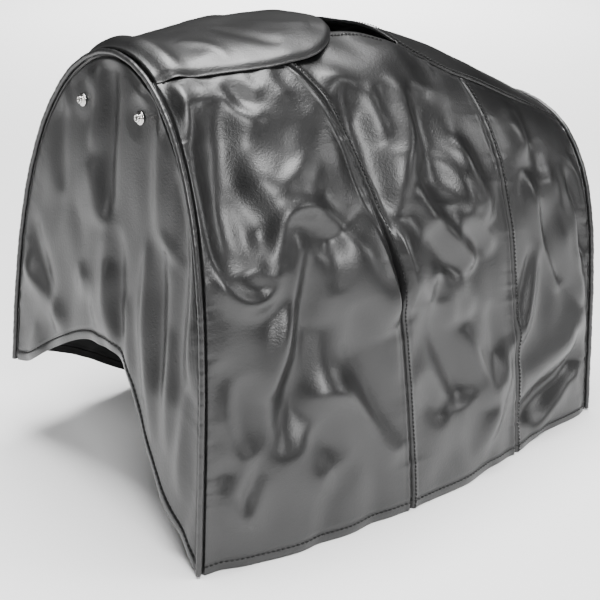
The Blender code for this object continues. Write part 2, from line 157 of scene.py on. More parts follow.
def look_up(table, u, v):
    """Smooth value of a table at arrays of u and v."""
    return between(table, np.clip(np.asarray(u, float), 0, 1) * (table.shape[0] - 1),
                   np.clip(np.asarray(v, float), 0, 1) * (table.shape[1] - 1))


def near_half(u):
    """The near half of an arch: its outline from the hem to the ridge, and its v."""
    outline = arch(u)
    half = len(outline) // 2 + 1
    return outline[:half], along(outline)[:half]


def far_hem_height(u):
    """Height of the far hem, hitched up at the front corner."""
    if u >= FAR_RISE_END:
        return 0.0
    return FAR_CORNER_RISE * 0.5 * (1 + math.cos(math.pi * u / FAR_RISE_END))


def strip_half_width(u):
    """Half width of the roof opening, and of the roof strip behind it."""
    t = min(max((u - 0.42) / 0.25, 0), 1)
    return OPENING_HALF_WIDTH + (STRIP_HALF_WIDTH - OPENING_HALF_WIDTH) * t * t * (3 - 2 * t)


def line_table(rule):
    """A rule of u, worked out on an even grid of u for quick interpolation."""
    places = np.linspace(0, 1, 121)
    return places, np.array([rule(u) for u in places])


def strip_edge(u):
    """v of the near edge of the roof opening and of the roof strip."""
    outline, share = near_half(u)
    return np.interp(strip_half_width(u), -outline[::-1, 0], share[::-1])


def far_hem(u):
    """v of the far hem."""
    outline, share = near_half(u)
    return 1 - np.interp(far_hem_height(u), outline[:, 1], share)


STRIP_NEAR = line_table(strip_edge)
HEM_FAR = line_table(far_hem)


def turned_over(own, side):
    """v of a place counted up from the hem of its own side, or the other way round."""
    return own if side < 0 else 1 - own


def strip_and_hem(u, side):
    """Where the roof strip's edge and the hem lie at u, counted up the side itself."""
    return np.interp(u, *STRIP_NEAR), 0 * u if side < 0 else 1 - np.interp(u, *HEM_FAR)


def seam_u(seam, down):
    """u of a side seam; down is the share of the way up from the hem to the roof strip."""
    foot, shift, power = seam
    return foot - shift * down ** power


# ---------------------------------------------------------------- folds
U_METRES = 0.60           # length of one unit of u, and of v, for measuring folds
V_METRES = 1.33
FOLD_SOFT = 3.0           # millimetres added to each fold's half width on the sides
FOLD_WIDEN = 1.5          # factor on every fold's half width
FOLD_RAISE = 2.3          # factor on the height of the sides' folds
FOLD_REACH = 2.8          # how many half widths a fold reaches
FOLD_FULL = 0.13          # a fold of this length, in metres, has its full height
MM = 0.001


def folds(*rows):
    """Folds from rows of height, half width and the u, v, u, v, ... of a line in thousandths."""
    return tuple((tuple((a / 1000, b / 1000) for a, b in zip(line[::2], line[1::2])), high, wide)
                 for high, wide, line in rows)


# Heights (a valley is negative) and half widths are in millimetres. v counts from the hem of
# the fold's own side.
NEAR_FOLDS = folds(
    # front gore: the long pouch next to the piping and the crease that runs round it
    (5.0, 6, (30, 380, 22, 330, 22, 280, 34, 252, 70, 233, 112, 228, 135, 240, 142, 268, 162, 288,
     190, 293, 225, 289, 255, 280, 295, 258, 335, 234)),
    (-9.0, 20, (75, 400, 70, 350, 75, 300, 85, 255)),
    (4.0, 8, (80, 325, 90, 290, 105, 262, 122, 240)),
    (-4.0, 8, (120, 290, 128, 265, 130, 248)),
    (7.0, 9, (175, 284, 182, 255, 172, 226, 152, 190, 140, 165, 125, 140)),
    (-8.0, 13, (200, 260, 198, 220, 190, 175, 172, 135, 164, 110, 175, 88)),
    (4.0, 12, (235, 262, 232, 225, 225, 190)),
    (-3.5, 8, (255, 270, 258, 240, 255, 215)),
    (8.0, 26, (275, 262, 315, 232, 355, 200, 385, 170)),
    (-6.0, 12, (300, 205, 315, 165, 345, 112, 400, 62)),
    (6.0, 12, (185, 130, 235, 132, 282, 122, 325, 96, 392, 50)),
    (-4.5, 12, (200, 100, 235, 88, 262, 66)),
    (3.0, 8, (245, 108, 262, 82, 235, 62, 228, 40)),
    (5.0, 8, (52, 172, 44, 138, 66, 92, 50, 66, 68, 45, 85, 46, 112, 80)),
    (-3.5, 10, (75, 170, 82, 135, 80, 100)),
    (3.0, 8, (12, 232, 20, 200, 18, 182)),
    (2.5, 4, (12, 134, 36, 134)),
    (-3.0, 4, (12, 126, 36, 126)),
    (2.5, 5, (12, 100, 50, 103)),
    (-3.0, 6, (12, 92, 55, 94)),
    (5.0, 22, (100, 326, 150, 322, 200, 316, 262, 306)),
    (2.5, 14, (130, 300, 190, 312)),
    (3.0, 12, (200, 345, 235, 340)),
    (-4.0, 16, (140, 365, 180, 338, 200, 325)),
    # gathers where the front gore is eased on to the roof opening
    (4.0, 8, (28, 430, 34, 395, 34, 370)),
    (3.0, 5, (80, 420, 84, 404, 94, 398)),
    (3.5, 6, (104, 418, 108, 403, 122, 386, 148, 374, 172, 384)),
    (-2.5, 5, (98, 412, 100, 400)),
    (-3.5, 5, (124, 415, 138, 396, 152, 386)),
    (3.0, 6, (150, 418, 164, 400, 176, 390)),
    (-2.5, 5, (176, 418, 184, 400)),
    (3.0, 8, (204, 418, 214, 395, 226, 380)),
    (-2.0, 7, (226, 415, 240, 390, 262, 365)),
    # middle gore
    (-6.5, 15, (345, 385, 365, 340, 372, 298, 385, 262)),
    (2.5, 6, (300, 395, 345, 392, 372, 378, 350, 352)),
    (3.5, 8, (405, 380, 410, 352, 410, 325)),
    (-4.0, 9, (436, 378, 438, 345, 425, 315)),
    (6.5, 14, (480, 385, 468, 340, 440, 305, 420, 285, 418, 262)),
    (2.5, 5, (448, 290, 456, 272, 470, 285, 462, 300)),
    (-2.0, 4, (432, 285, 440, 262)),
    (-7.0, 20, (535, 375, 540, 335, 538, 295, 520, 270)),
    (5.0, 9, (585, 328, 612, 300, 642, 268, 650, 245)),
    (5.0, 8, (548, 316, 585, 288, 622, 258)),
    (-3.0, 5, (568, 318, 602, 285, 628, 264)),
    (6.0, 9, (462, 288, 488, 258, 540, 234, 585, 216, 602, 205)),
    (-6.5, 10, (478, 252, 520, 226, 572, 205)),
    (4.5, 8, (555, 256, 600, 252, 640, 238, 668, 218)),
    (-3.0, 7, (560, 240, 610, 232, 640, 218)),
    (5.0, 12, (400, 262, 415, 232, 435, 202, 458, 178)),
    (4.0, 7, (508, 216, 480, 198, 460, 180)),
    (-4.0, 8, (410, 198, 440, 175)),
    (3.5, 8, (520, 210, 535, 180, 540, 155)),
    (-4.0, 8, (500, 205, 505, 180)),
    (3.5, 8, (560, 202, 575, 180, 590, 160)),
    (-5.5, 14, (475, 178, 515, 138, 560, 100, 580, 80)),
    (4.5, 8, (570, 155, 600, 120, 630, 88, 640, 68)),
    (-4.0, 8, (448, 120, 470, 95, 500, 82, 525, 76)),
    (3.5, 6, (700, 130, 690, 90, 665, 60, 620, 15)),
    (3.0, 6, (672, 110, 655, 70, 600, 20)),
    (-3.0, 5, (680, 85, 665, 58)),
    (-3.0, 7, (650, 170, 660, 135, 668, 110)),
    # rear gore
    (4.0, 12, (770, 362, 785, 335, 800, 300)),
    (3.0, 7, (742, 352, 775, 330, 800, 312)),
    (4.5, 6, (785, 300, 800, 265, 840, 215, 888, 165)),
    (-3.5, 6, (815, 268, 852, 215, 895, 172)),
    (3.5, 9, (860, 320, 880, 270, 900, 220, 925, 170)),
    (-4.0, 10, (830, 330, 855, 290)),
    (5.0, 5, (815, 225, 782, 172, 750, 134, 712, 110)),
    (-4.0, 4, (800, 222, 768, 172, 738, 136)),
    (5.0, 7, (915, 312, 935, 250, 945, 195, 962, 145)),
    (-5.0, 8, (945, 310, 965, 250, 972, 200)),
    (3.0, 6, (965, 330, 975, 280, 982, 235)),
    (-6.5, 13, (735, 40, 790, 40, 850, 50, 912, 66, 975, 92)),
    (3.5, 7, (800, 4, 860, 24, 920, 48, 975, 70)),
    (5.0, 18, (740, 75, 820, 88, 900, 108, 975, 140)),
    (-2.0, 4, (820, 70, 835, 50)),
    (2.0, 5, (880, 80, 900, 55)),
    (-3.0, 5, (930, 120, 945, 80, 940, 50)),
    (2.5, 5, (955, 60, 965, 30)),
)


def spline(points, count=26):
    """A smooth line through a few points."""
    points = np.array(points, float)
    if len(points) == 2:
        return np.linspace(points[0], points[1], count)
    steps = np.arange(len(points), dtype=float)
    table = np.column_stack((steps, points))
    return np.array([smooth(table, place) for place in np.linspace(0, steps[-1], count)])


def folds_at(u, v, folds, raised=1.0, soft=0.0):
    """Height of folds at arrays of u and v; raised scales them, soft widens them."""
    total = np.zeros_like(u)
    x, y = u * U_METRES, v * V_METRES
    for line, height, half_width in folds:
        path = spline(line) * (U_METRES, V_METRES)
        wide = (soft + half_width * FOLD_WIDEN) * MM
        reach = wide * FOLD_REACH
        (x0, y0), (x1, y1) = path.min(axis=0) - reach, path.max(axis=0) + reach
        inside = (x > x0) & (x < x1) & (y > y0) & (y < y1)
        if not inside.any():
            continue
        px, py = x[inside], y[inside]
        length = np.linalg.norm(np.diff(path, axis=0), axis=1).sum()
        reached = raised * (0.25 + 0.75 * min(length / FOLD_FULL, 1))
        best = np.full(px.shape, 1e9)
        place = np.zeros(px.shape)
        for index, (a, b) in enumerate(zip(path, path[1:])):
            d = b - a
            t = np.clip(((px - a[0]) * d[0] + (py - a[1]) * d[1]) / max(d @ d, 1e-12), 0, 1)
            gap = np.hypot(px - a[0] - d[0] * t, py - a[1] - d[1] * t)
            closer = gap < best
            best[closer] = gap[closer]
            place[closer] = (index + t[closer]) / (len(path) - 1)
        swell = np.sin(np.clip(place, 0, 1) * math.pi).clip(0, 1)
        taper = swell * (2 - swell)
        best /= 0.60 + 0.40 * taper
        profile = np.exp(-(best / wide) ** (2.0 if height < 0 else 1.7))
        total[inside] += height * MM * reached * taper * profile
    return total


def noise_at(points, scale, seed):
    """Smooth noise of points stretched by scale."""
    flat = points.reshape(-1, 3) * scale
    values = np.array([noise.noise(Vector(p) + Vector((seed, seed * 2, -seed))) for p in flat])
    return values.reshape(points.shape[:-1])


def fade(distance, width):
    """0 at an edge, 1 beyond a width from it."""
    t = np.clip(distance / width, 0, 1)
    return t * t * (3 - 2 * t)


# ---------------------------------------------------------------- meshes
def mesh_from_grid(name, points, closed=False):
    """A smooth mesh through a grid of points (rows, columns, 3)."""
    rows, columns = points.shape[:2]
    index = np.arange(rows * columns).reshape(rows, columns)
    if closed:
        index = np.column_stack((index, index[:, 0]))
    quads = np.stack((index[:-1, :-1], index[:-1, 1:], index[1:, 1:], index[1:, :-1]), -1)
    quads = quads.reshape(-1, 4)
    data = bpy.data.meshes.new(name)
    data.vertices.add(rows * columns)
    data.vertices.foreach_set("co", points.reshape(-1).astype(np.float32))
    data.loops.add(quads.size)
    data.loops.foreach_set("vertex_index", quads.reshape(-1).astype(np.int32))
    data.polygons.add(len(quads))
    data.polygons.foreach_set("loop_start", np.arange(0, quads.size, 4, dtype=np.int32))
    data.update(calc_edges=True)
    data.validate()
    data.shade_smooth()
    return data


def linked(name, data):
    """A new object in the scene."""
    thing = bpy.data.objects.new(name, data)
    bpy.context.scene.collection.objects.link(thing)
    return thing


def place(name, data, finish, body="cover", slot="vinyl", replaced=()):
    """Link a piece, give it its material and its body, and hide the nodes it stands for; slot is
    not used.
    """
    piece = linked(f"{name}_made" if replaced else name, data)
    piece.data.materials.append(finish)
    if body:
        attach(piece, body)
    if replaced:
        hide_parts(*replaced)
    return piece


def thicken(piece, thickness):
    """Give a sheet its thickness, inwards."""
    solid = piece.modifiers.new("thickness", "SOLIDIFY")
    solid.thickness = thickness
    solid.offset = -1


# ---------------------------------------------------------------- materials
def nodes_of(name):
    """A new material with its node tree, shader and object coordinates."""
    made = bpy.data.materials.new(name)
    made.use_nodes = True
    tree = made.node_tree
    coordinate = tree.nodes.new("ShaderNodeTexCoord").outputs["Object"]
    return made, tree, tree.nodes["Principled BSDF"], coordinate


def added(tree, kind, settings, **links):
    """A new node with its input values, and links into its inputs."""
    node = tree.nodes.new(kind)
    if kind == "ShaderNodeMix":
        node.data_type = "RGBA"
    for socket, value in settings.items():
        node.inputs[socket].default_value = value
    for socket, source in links.items():
        tree.links.new(source, node.inputs[socket])
    return node.outputs


def noise_node(tree, scale, detail, coordinate):
    """A noise texture in object coordinates."""
    return added(tree, "ShaderNodeTexNoise", {"Scale": scale, "Detail": detail},
                 Vector=coordinate)["Fac"]


def remap(tree, value, low, high, to_low, to_high):
    """A value moved from one range to another."""
    ranges = {"From Min": low, "From Max": high, "To Min": to_low, "To Max": to_high}
    return added(tree, "ShaderNodeMapRange", ranges, Value=value)["Result"]


def bump_node(tree, height, strength, distance, **onto):
    """A bump, on top of another one if it is given as Normal."""
    return added(tree, "ShaderNodeBump", {"Strength": strength, "Distance": distance},
                 Height=height, **onto)["Normal"]


def mixed(tree, factor, first, second):
    """Two colours mixed by a factor."""
    return added(tree, "ShaderNodeMix", {"A": (*first, 1), "B": (*second, 1)},
                 Factor=factor)["Result"]


def vinyl_material(name, dark, light, rough_low, rough_high, grain=1.0):
    """Black leatherette with a fine pebbled grain and soft mottling."""
    made, tree, shader, coordinate = nodes_of(name)
    cloudy = noise_node(tree, 9, 4, coordinate)
    fine = noise_node(tree, 340, 3, coordinate)
    colour = mixed(tree, remap(tree, cloudy, 0.35, 0.68, 0, 1), dark, light)
    tree.links.new(colour, shader.inputs["Base Color"])
    rough = remap(tree, cloudy, 0.3, 0.7, rough_low, rough_high)
    tree.links.new(rough, shader.inputs["Roughness"])
    shader.inputs["Specular IOR Level"].default_value = 0.64
    shader.inputs["Coat Weight"].default_value = 0.22
    shader.inputs["Coat Roughness"].default_value = 0.30
    pebbles = added(tree, "ShaderNodeTexVoronoi", {"Scale": 620, "Randomness": 1.0},
                    Vector=coordinate)["Distance"]
    grained = bump_node(tree, pebbles, 0.30 * grain, 0.0004)
    worn = bump_node(tree, fine, 0.40 * grain, 0.0007, Normal=grained)
    tree.links.new(worn, shader.inputs["Normal"])
    return made


def woven_material(name, dark, light):
    """Matt woven backing."""
    made, tree, shader, coordinate = nodes_of(name)
    weave = noise_node(tree, 700, 2, coordinate)
    colour = mixed(tree, remap(tree, weave, 0.35, 0.65, 0, 1), dark, light)
    tree.links.new(colour, shader.inputs["Base Color"])
    shader.inputs["Roughness"].default_value = 0.85
    tree.links.new(bump_node(tree, weave, 0.4, 0.0004), shader.inputs["Normal"])
    return made


def metal_material(name):
    """Bright nickel with faint handling marks."""
    made, tree, shader, coordinate = nodes_of(name)
    marks = noise_node(tree, 300, 3, coordinate)
    colour = mixed(tree, marks, (0.62, 0.61, 0.59), (0.80, 0.79, 0.77))
    tree.links.new(colour, shader.inputs["Base Color"])
    shader.inputs["Metallic"].default_value = 1.0
    tree.links.new(remap(tree, marks, 0.3, 0.7, 0.14, 0.30), shader.inputs["Roughness"])
    return made


VINYL_SKIN = vinyl_material("black_leatherette", (0.0025, 0.0025, 0.0026), (0.006, 0.006, 0.0062),
                            0.37, 0.45)
PIPING_SKIN = vinyl_material("piping_leatherette", (0.006, 0.006, 0.0061), (0.010, 0.010, 0.0103),
                             0.36, 0.44, 0.6)
BACKING = woven_material("woven_backing", (0.010, 0.010, 0.010), (0.018, 0.018, 0.018))
THREAD = woven_material("thread", (0.006, 0.006, 0.006), (0.014, 0.014, 0.014))
NICKEL = metal_material("nickel_plate")


def cloth(name, points, thickness=VINYL, body="cover"):
    """A sheet of vinyl that stands for the CAD node of its name."""
    piece = place(name, mesh_from_grid(name, points), VINYL_SKIN, body, replaced=(name,))
    thicken(piece, thickness)
    return piece


def backing(name, points, thickness, body="cover", slot="backing"):
    """A sheet of backing or tape that stands for the CAD node of its name."""
    piece = place(name, mesh_from_grid(name, points), BACKING, body, slot, (name,))
    thicken(piece, thickness)
    return piece


# ---------------------------------------------------------------- the displaced skin
RELIEF_STEP = 0.0016      # spacing of the relief's grid, in metres
NOISE_STRIDE = 4          # the noise is worked out on every fourth grid line
RELIEF_BLUR = 7           # how often the relief is smoothed


def blurred(table, passes):
    """A table smoothed a few times with its neighbours."""
    for _ in range(passes):
        for axis in (0, 1):
            table = np.swapaxes(table, 0, axis)
            wide = np.vstack((table[:1], table[:1], table, table[-1:], table[-1:]))
            table = (wide[:-4] + 4 * wide[1:-3] + 6 * wide[2:-2] + 4 * wide[3:-1] + wide[4:]) / 16
            table = np.swapaxes(table, 0, axis)
    return table


def crumple(points, scale, seed, sharp):
    """Warped noise with sharp valleys between rounded bulges, or turned over if sharp is low."""
    warp = noise_at(points, (6.0, 7.0, 4.0), seed + 50)
    moved = points + np.stack((0.045 * warp, 0 * warp, 0.030 * warp), -1)
    value = noise_at(moved, scale, seed)
    return np.sqrt(value ** 2 + sharp ** 2) - 0.22


def relief_table(side):
    """How far a side's cloth stands off the plain skin, on a grid of u and v."""
    columns = int(U_METRES / RELIEF_STEP) // NOISE_STRIDE * NOISE_STRIDE + 1
    rows = int(0.5 * V_METRES / RELIEF_STEP) // NOISE_STRIDE * NOISE_STRIDE + 1
    u, own = np.meshgrid(np.linspace(0, 1, columns), np.linspace(0, 0.5, rows), indexing="ij")
    if side < 0:
        relief = folds_at(u, own, NEAR_FOLDS, FOLD_RAISE, FOLD_SOFT)
    else:
        wander = 0.020 * np.sin(own * 19 + 1.0) + 0.014 * np.sin(own * 41)
        relief = 0.85 * folds_at(np.clip(u + wander, 0, 1), own * 0.97 + 0.01, NEAR_FOLDS,
                                 FOLD_RAISE, FOLD_SOFT)
    coarse_u, coarse_own = u[::NOISE_STRIDE, ::NOISE_STRIDE], own[::NOISE_STRIDE, ::NOISE_STRIDE]
    points = look_up(SKIN, coarse_u, coarse_own if side < 0 else 1 - coarse_own)
    grain = 0.0060 * noise_at(points, (6.0, 8.0, 4.0), 3.0 + side)
    grain += 0.0110 * crumple(points, (11.0, 12.0, 6.5), 23.0 + side, 0.05)
    grain -= 0.0045 * crumple(points, (20.0, 22.0, 11.0), 41.0 + side, 0.05)
    grain += 0.0016 * noise_at(points, (36.0, 38.0, 22.0), 9.0 + side)
    relief += refined(grain, NOISE_STRIDE)
    return blurred(relief, RELIEF_BLUR)


def refined(table, stride):
    """A coarse table spread over a finer grid, smoothly."""
    for axis in (0, 1):
        table = np.swapaxes(table, 0, axis)
        places = np.linspace(0, len(table) - 1, (len(table) - 1) * stride + 1)
        index = np.minimum(places.astype(int), len(table) - 2)
        share = (places - index)[:, None]
        table = table[index] * (1 - share) + table[index + 1] * share
        table = np.swapaxes(table, 0, axis)
    return blurred(table, stride)


RELIEF = {}


def side_relief(u, v, side):
    """How far the side's cloth stands off the plain skin, at arrays of u and v."""
    if side not in RELIEF:
        RELIEF[side] = relief_table(side)
    return look_up(RELIEF[side], u, turned_over(v, side) * 2)


TUCK = 0.0012             # how deep the panels tuck in under the pipings
TUCK_REACH = 0.0046       # how far from its seam a panel starts to tuck in
GROOVE = 0.0030           # depth of the groove beside a piping
GROOVE_PLACE = 0.0040
GROOVE_WIDTH = 0.0017
SEAM_DEPTH = 0.0032       # depth and half width of the groove along a seam
SEAM_WIDTH = 0.0018
HEM_FOLD = 0.0135         # height of the line where a turned-up hem ends
HEM_HEIGHT = 0.012
HEM_THICKNESS = 0.0012


def groove(distance):
    """The groove beside a piping, by distance in metres from its seam."""
    return -GROOVE * np.exp(-((distance - GROOVE_PLACE) / GROOVE_WIDTH) ** 2)


def tuck(distance):
    """How deep a panel tucks in, by distance in metres from its piping's seam."""
    return TUCK * np.exp(-(distance / TUCK_REACH) ** 2)


def edge_fade(u):
    """Less relief at the pipings, where the cloth is sewn down."""
    return fade(u * U_METRES - 0.003, 0.022) * fade((1 - u) * U_METRES - 0.003, 0.018)


def seam_dip(distance):
    """The groove along a seam, by distance in metres from it."""
    rolls = 0.0010 * np.exp(-((np.abs(distance) - 0.0052) / 0.0026) ** 2)
    return rolls - SEAM_DEPTH * np.exp(-(distance / SEAM_WIDTH) ** 2)


def gathers(distance, place, seed, depth=0.0014):
    """Small puckers that run into a seam, at arrays of distance from it and place along it."""
    wander = place + 0.004 * np.sin(place * 37 + seed) + 0.003 * np.sin(place * 91 + 2 * seed)
    waves = np.sin(wander * 330 + seed) + 0.8 * np.sin(wander * 197 + 2 * seed + 1)
    waves += 0.5 * np.sin(wander * 610 + 3 * seed)
    patches = 0.45 + 0.55 * np.sin(place * 23 + 3 * seed) * np.sin(place * 57 + seed)
    return depth * waves * patches * np.exp(-np.abs(distance) / 0.011) * 0.33


def side_point(u, v, side):
    """Points of the finished cloth of a side."""
    u, v = np.broadcast_arrays(np.asarray(u, float), np.asarray(v, float))
    own = turned_over(v, side)
    top, foot = strip_and_hem(u, side)
    down = np.clip((own - foot) / (top - foot), 0, 1)
    relief = side_relief(u, v, side) * edge_fade(u)
    strip = (top - own) * V_METRES
    sewn = np.where(u < OPENING_REAR, fade(strip, 0.014), 1)
    for seam, seed in ((SEAM_FRONT, 1.0), (SEAM_REAR, 4.0)):
        distance = (u - seam_u(seam, down)) * U_METRES
        relief = relief * (0.35 + 0.65 * fade(np.abs(distance), 0.014))
        relief += seam_dip(distance) * sewn + gathers(distance, own * V_METRES, seed)
    front, rear = u * LENGTH, (1 - u) * LENGTH
    for distance, seed, depth in ((front, 2.0, 0.0018), (rear, 5.0, 0.0026)):
        relief += gathers(distance, own * V_METRES, seed, depth) * fade(distance - 0.002, 0.004)
        relief += groove(distance) - tuck(distance)
    relief = relief * (0.30 + 0.70 * fade(strip, 0.020))
    relief += gathers(strip, u * U_METRES, 3.0, 0.0020) * fade(strip, 0.003)
    relief += np.where(u > OPENING_REAR, seam_dip(strip), 0)
    hem = (own - foot) * V_METRES
    relief += 0.0008 * np.exp(-((hem - 0.006) / 0.005) ** 2)
    relief -= 0.0008 * np.exp(-((hem - HEM_FOLD) / 0.0016) ** 2)
    points = look_up(SKIN, u, v) + look_up(NORMALS, u, v) * relief[..., None]
    return points + (tuck(front) - tuck(rear))[..., None] * np.array((1.0, 0, 0))


GORE_ROWS = 270


def gore(side, name, start, end):
    """One gore of a side as a wrinkled sheet, between two edges."""
    width = (float(end(np.array(0.4))) - float(start(np.array(0.4)))) * U_METRES
    down = np.linspace(0, 1, GORE_ROWS)[:, None]
    across = np.linspace(0, 1, int(width / RELIEF_STEP))[None, :]
    across = across - 0.75 * np.sin(2 * math.pi * across) / (2 * math.pi)
    points, _ = cloth_line(start(down) * (1 - across) + end(down) * across, down, side)
    points = points[::-side]
    cloth(name, points)


# ---------------------------------------------------------------- pieces
SIDES = ((-1, "near"), (1, "far"))
EDGE_U = 0.0004 / LENGTH
# u of the gores' edges from front to rear, by the share of the way up from the hem.
SEAMS = (
    lambda down: EDGE_U + 0 * down,
    lambda down: seam_u(SEAM_FRONT, down),
    lambda down: seam_u(SEAM_REAR, down),
    lambda down: 1 - EDGE_U + 0 * down,
)

STITCH_RISE = (-0.6, 0.5, 0.8, 0.5, -0.6)   # shape of a stitch, in its own widths
STITCH_OFFSET = 0.0042    # distance of the stitches from their seam
STITCH_LIFT = 0.0007
HEM_STITCH = {"length": 0.0040, "gap": 0.0018, "width": 0.0006}
HEM_STITCH_HEIGHT = 0.0105


def stitches(name, path, normals, length=0.0034, gap=0.0014, width=0.00085):
    """A row of thread stitches along a path on the cloth."""
    steps = np.linalg.norm(np.diff(path, axis=0), axis=1)
    run = np.concatenate(((0,), np.cumsum(steps)))
    count = max(int(run[-1] / (length + gap)), 1)
    ring = np.array([(math.cos(a), math.sin(a)) for a in np.linspace(0, 2 * math.pi, 7)[:-1]])
    verts, faces = [], []
    for index in range(count):
        start = index * (length + gap)
        places = start + np.linspace(0, length, 5)
        line = np.column_stack([np.interp(places, run, path[:, k]) for k in range(3)])
        up = np.column_stack([np.interp(places, run, normals[:, k]) for k in range(3)])
        forward = line[-1] - line[0]
        forward /= np.linalg.norm(forward)
        side = np.cross(forward, up[2])
        rise = np.array(STITCH_RISE) * width + STITCH_LIFT
        base = len(verts)
        for k in range(5):
            centre = line[k] + up[k] * rise[k]
            size = width * (0.55 if k in (0, 4) else 1)
            verts += [tuple(centre + side * (c * size) + up[k] * (s * size * 0.8))
                      for c, s in ring]
        for k in range(4):
            for r in range(6):
                a, b = base + k * 6 + r, base + k * 6 + (r + 1) % 6
                faces.append((a, b, b + 6, a + 6))
        faces.append(tuple(base + r for r in range(6))[::-1])
        faces.append(tuple(base + 24 + r for r in range(6)))
    data = bpy.data.meshes.new(name)
    data.from_pydata(verts, [], faces)
    data.shade_smooth()
    return place(name, data, THREAD)


def tube_mesh(name, path, radius, sides=14):
    """A smooth round tube along a path."""
    tangents = np.gradient(path, axis=0)
    tangents /= np.linalg.norm(tangents, axis=1, keepdims=True)
    axis = np.array((1.0, 0.0, 0.0))
    first = axis - tangents * (tangents @ axis)[:, None]
    first /= np.linalg.norm(first, axis=1, keepdims=True)
    second = np.cross(tangents, first)
    angles = np.linspace(0, 2 * math.pi, sides, endpoint=False)
    radius = np.broadcast_to(np.asarray(radius, float), (len(path),))
    points = (path[:, None] + radius[:, None, None]
              * (first[:, None] * np.cos(angles)[None, :, None]
                 + second[:, None] * np.sin(angles)[None, :, None]))
    return mesh_from_grid(name, points, closed=True)


def sides():
    """Six gores with their folds, their seams' stitches and their hem bands."""
    for side, label in SIDES:
        for index, part in enumerate(("front", "middle", "rear")):
            gore(side, f"{label}_gore_{part}", SEAMS[index], SEAMS[index + 1])
        down = np.linspace(0.004, 0.985, 420)
        for seam, key in ((SEAM_FRONT, "front"), (SEAM_REAR, "rear")):
            u = seam_u(seam, down) + STITCH_OFFSET / U_METRES
            stitches(f"{label}_{key}_seam_stitches", *cloth_line(u, down, side))
        stitches(f"{label}_hem_stitches",
                 *hem_line(np.linspace(0.010, 0.990, 500), HEM_STITCH_HEIGHT, side), **HEM_STITCH)
        hem_band(side, label)


def cloth_line(u, down, side):
    """Points and normals of a side's cloth, at u and the share of the way up from the hem."""
    top, foot = strip_and_hem(u, side)
    v = turned_over(foot * (1 - down) + top * down, side)
    return side_point(u, v, side), look_up(NORMALS, u, v)


def hem_line(u, height, side):
    """Points and normals of a line along a side's hem."""
    v = turned_over(strip_and_hem(u, side)[1] + height / V_METRES, side)
    return side_point(u, v, side), look_up(NORMALS, u, v)


def hem_band(side, label):
    """The turned-up hem inside a side."""
    u = np.linspace(0.008, 0.992, 300)
    rows = []
    for height in np.linspace(0.0002, HEM_HEIGHT, 6):
        points, normals = hem_line(u, height, side)
        rows.append(points - normals * (VINYL + 0.0004))
    backing(f"{label}_hem_band", np.array(rows)[::-side], HEM_THICKNESS)


def roof_strip():
    """Roof strip behind the opening, dished and wrinkled, with its stitch lines."""
    columns, rows = 190, 120
    u = np.linspace(OPENING_REAR, 1 - EDGE_U, columns)[None, :]
    across = np.linspace(0, 1, rows)[:, None]
    low = np.interp(u, *STRIP_NEAR) + 0.0003
    high = 1 - np.interp(u, *STRIP_NEAR) - 0.0003
    v = low * (1 - across) + high * across
    points = roof_point(np.broadcast_to(u, v.shape), v)
    piece = cloth("roof_strip", points)
    for side, label in SIDES:
        line = np.linspace(OPENING_REAR + 0.005, 0.99, 300)
        v_line = turned_over(np.interp(line, *STRIP_NEAR) + STITCH_OFFSET / V_METRES, side)
        stitches(f"roof_strip_stitches_{label}", roof_point(line, v_line),
                 look_up(NORMALS, line, v_line))
    line, v_line = roof_row(0.010, np.linspace(0.03, 0.97, 160))
    stitches("opening_rear_stitches", roof_point(line, v_line), look_up(NORMALS, line, v_line))


def roof_row(back, across):
    """u and v of a line across the roof strip, so many metres behind the opening."""
    u = np.full_like(across, OPENING_REAR + back / U_METRES)
    low = np.interp(u, *STRIP_NEAR)
    return u, low * (1 - across) + (1 - low) * across


def roof_point(u, v):
    """Points of the finished roof strip."""
    points = look_up(SKIN, u, v)
    relief = 0.0022 * noise_at(points, (9.0, 12.0, 8.0), 31.0)
    relief += 0.0010 * noise_at(points, (30.0, 30.0, 20.0), 37.0)
    top = np.interp(u, *STRIP_NEAR)
    edge = np.minimum(v - top, 1 - top - v) * V_METRES
    relief = relief * (0.3 + 0.7 * fade(edge, 0.02))
    relief *= fade((1 - u) * U_METRES, 0.02)
    relief += seam_dip(edge) + gathers(edge, u * U_METRES, 3.0, 0.0010) * fade(edge, 0.003)
    rear = (1 - u) * U_METRES
    relief += gathers(rear, v * V_METRES, 5.0, 0.0012) * fade(rear, 0.004)
    opening = (u - OPENING_REAR) * U_METRES
    relief += 0.0016 * np.exp(-(opening / 0.012) ** 2)
    return points + look_up(NORMALS, u, v) * relief[..., None]


def bindings():
    """Binding tapes under the roof opening's edges."""
    for side, label in SIDES:
        u = np.linspace(0.02, OPENING_REAR - 0.03, 160)
        rows = []
        for inward in np.linspace(0.0008, 0.011, 6):
            v = turned_over(np.interp(u, *STRIP_NEAR) - inward / V_METRES, side)
            rows.append(side_point(u, v, side) - look_up(NORMALS, u, v) * (VINYL + 0.0006))
        backing(f"opening_binding_{label}", np.array(rows)[::side], 0.0010)
        v = turned_over(np.interp(u, *STRIP_NEAR) - 0.0085 / V_METRES, side)
        stitches(f"opening_{label}_stitches", side_point(u, v, side), look_up(NORMALS, u, v))
    rows = []
    for back in np.linspace(0.0006, 0.0106, 5):
        u, v = roof_row(back, np.linspace(0.04, 0.96, 90))
        rows.append(roof_point(u, v) - look_up(NORMALS, u, v) * (VINYL + 0.0006))
    backing("opening_binding_rear", np.swapaxes(np.array(rows), 0, 1), 0.0010)


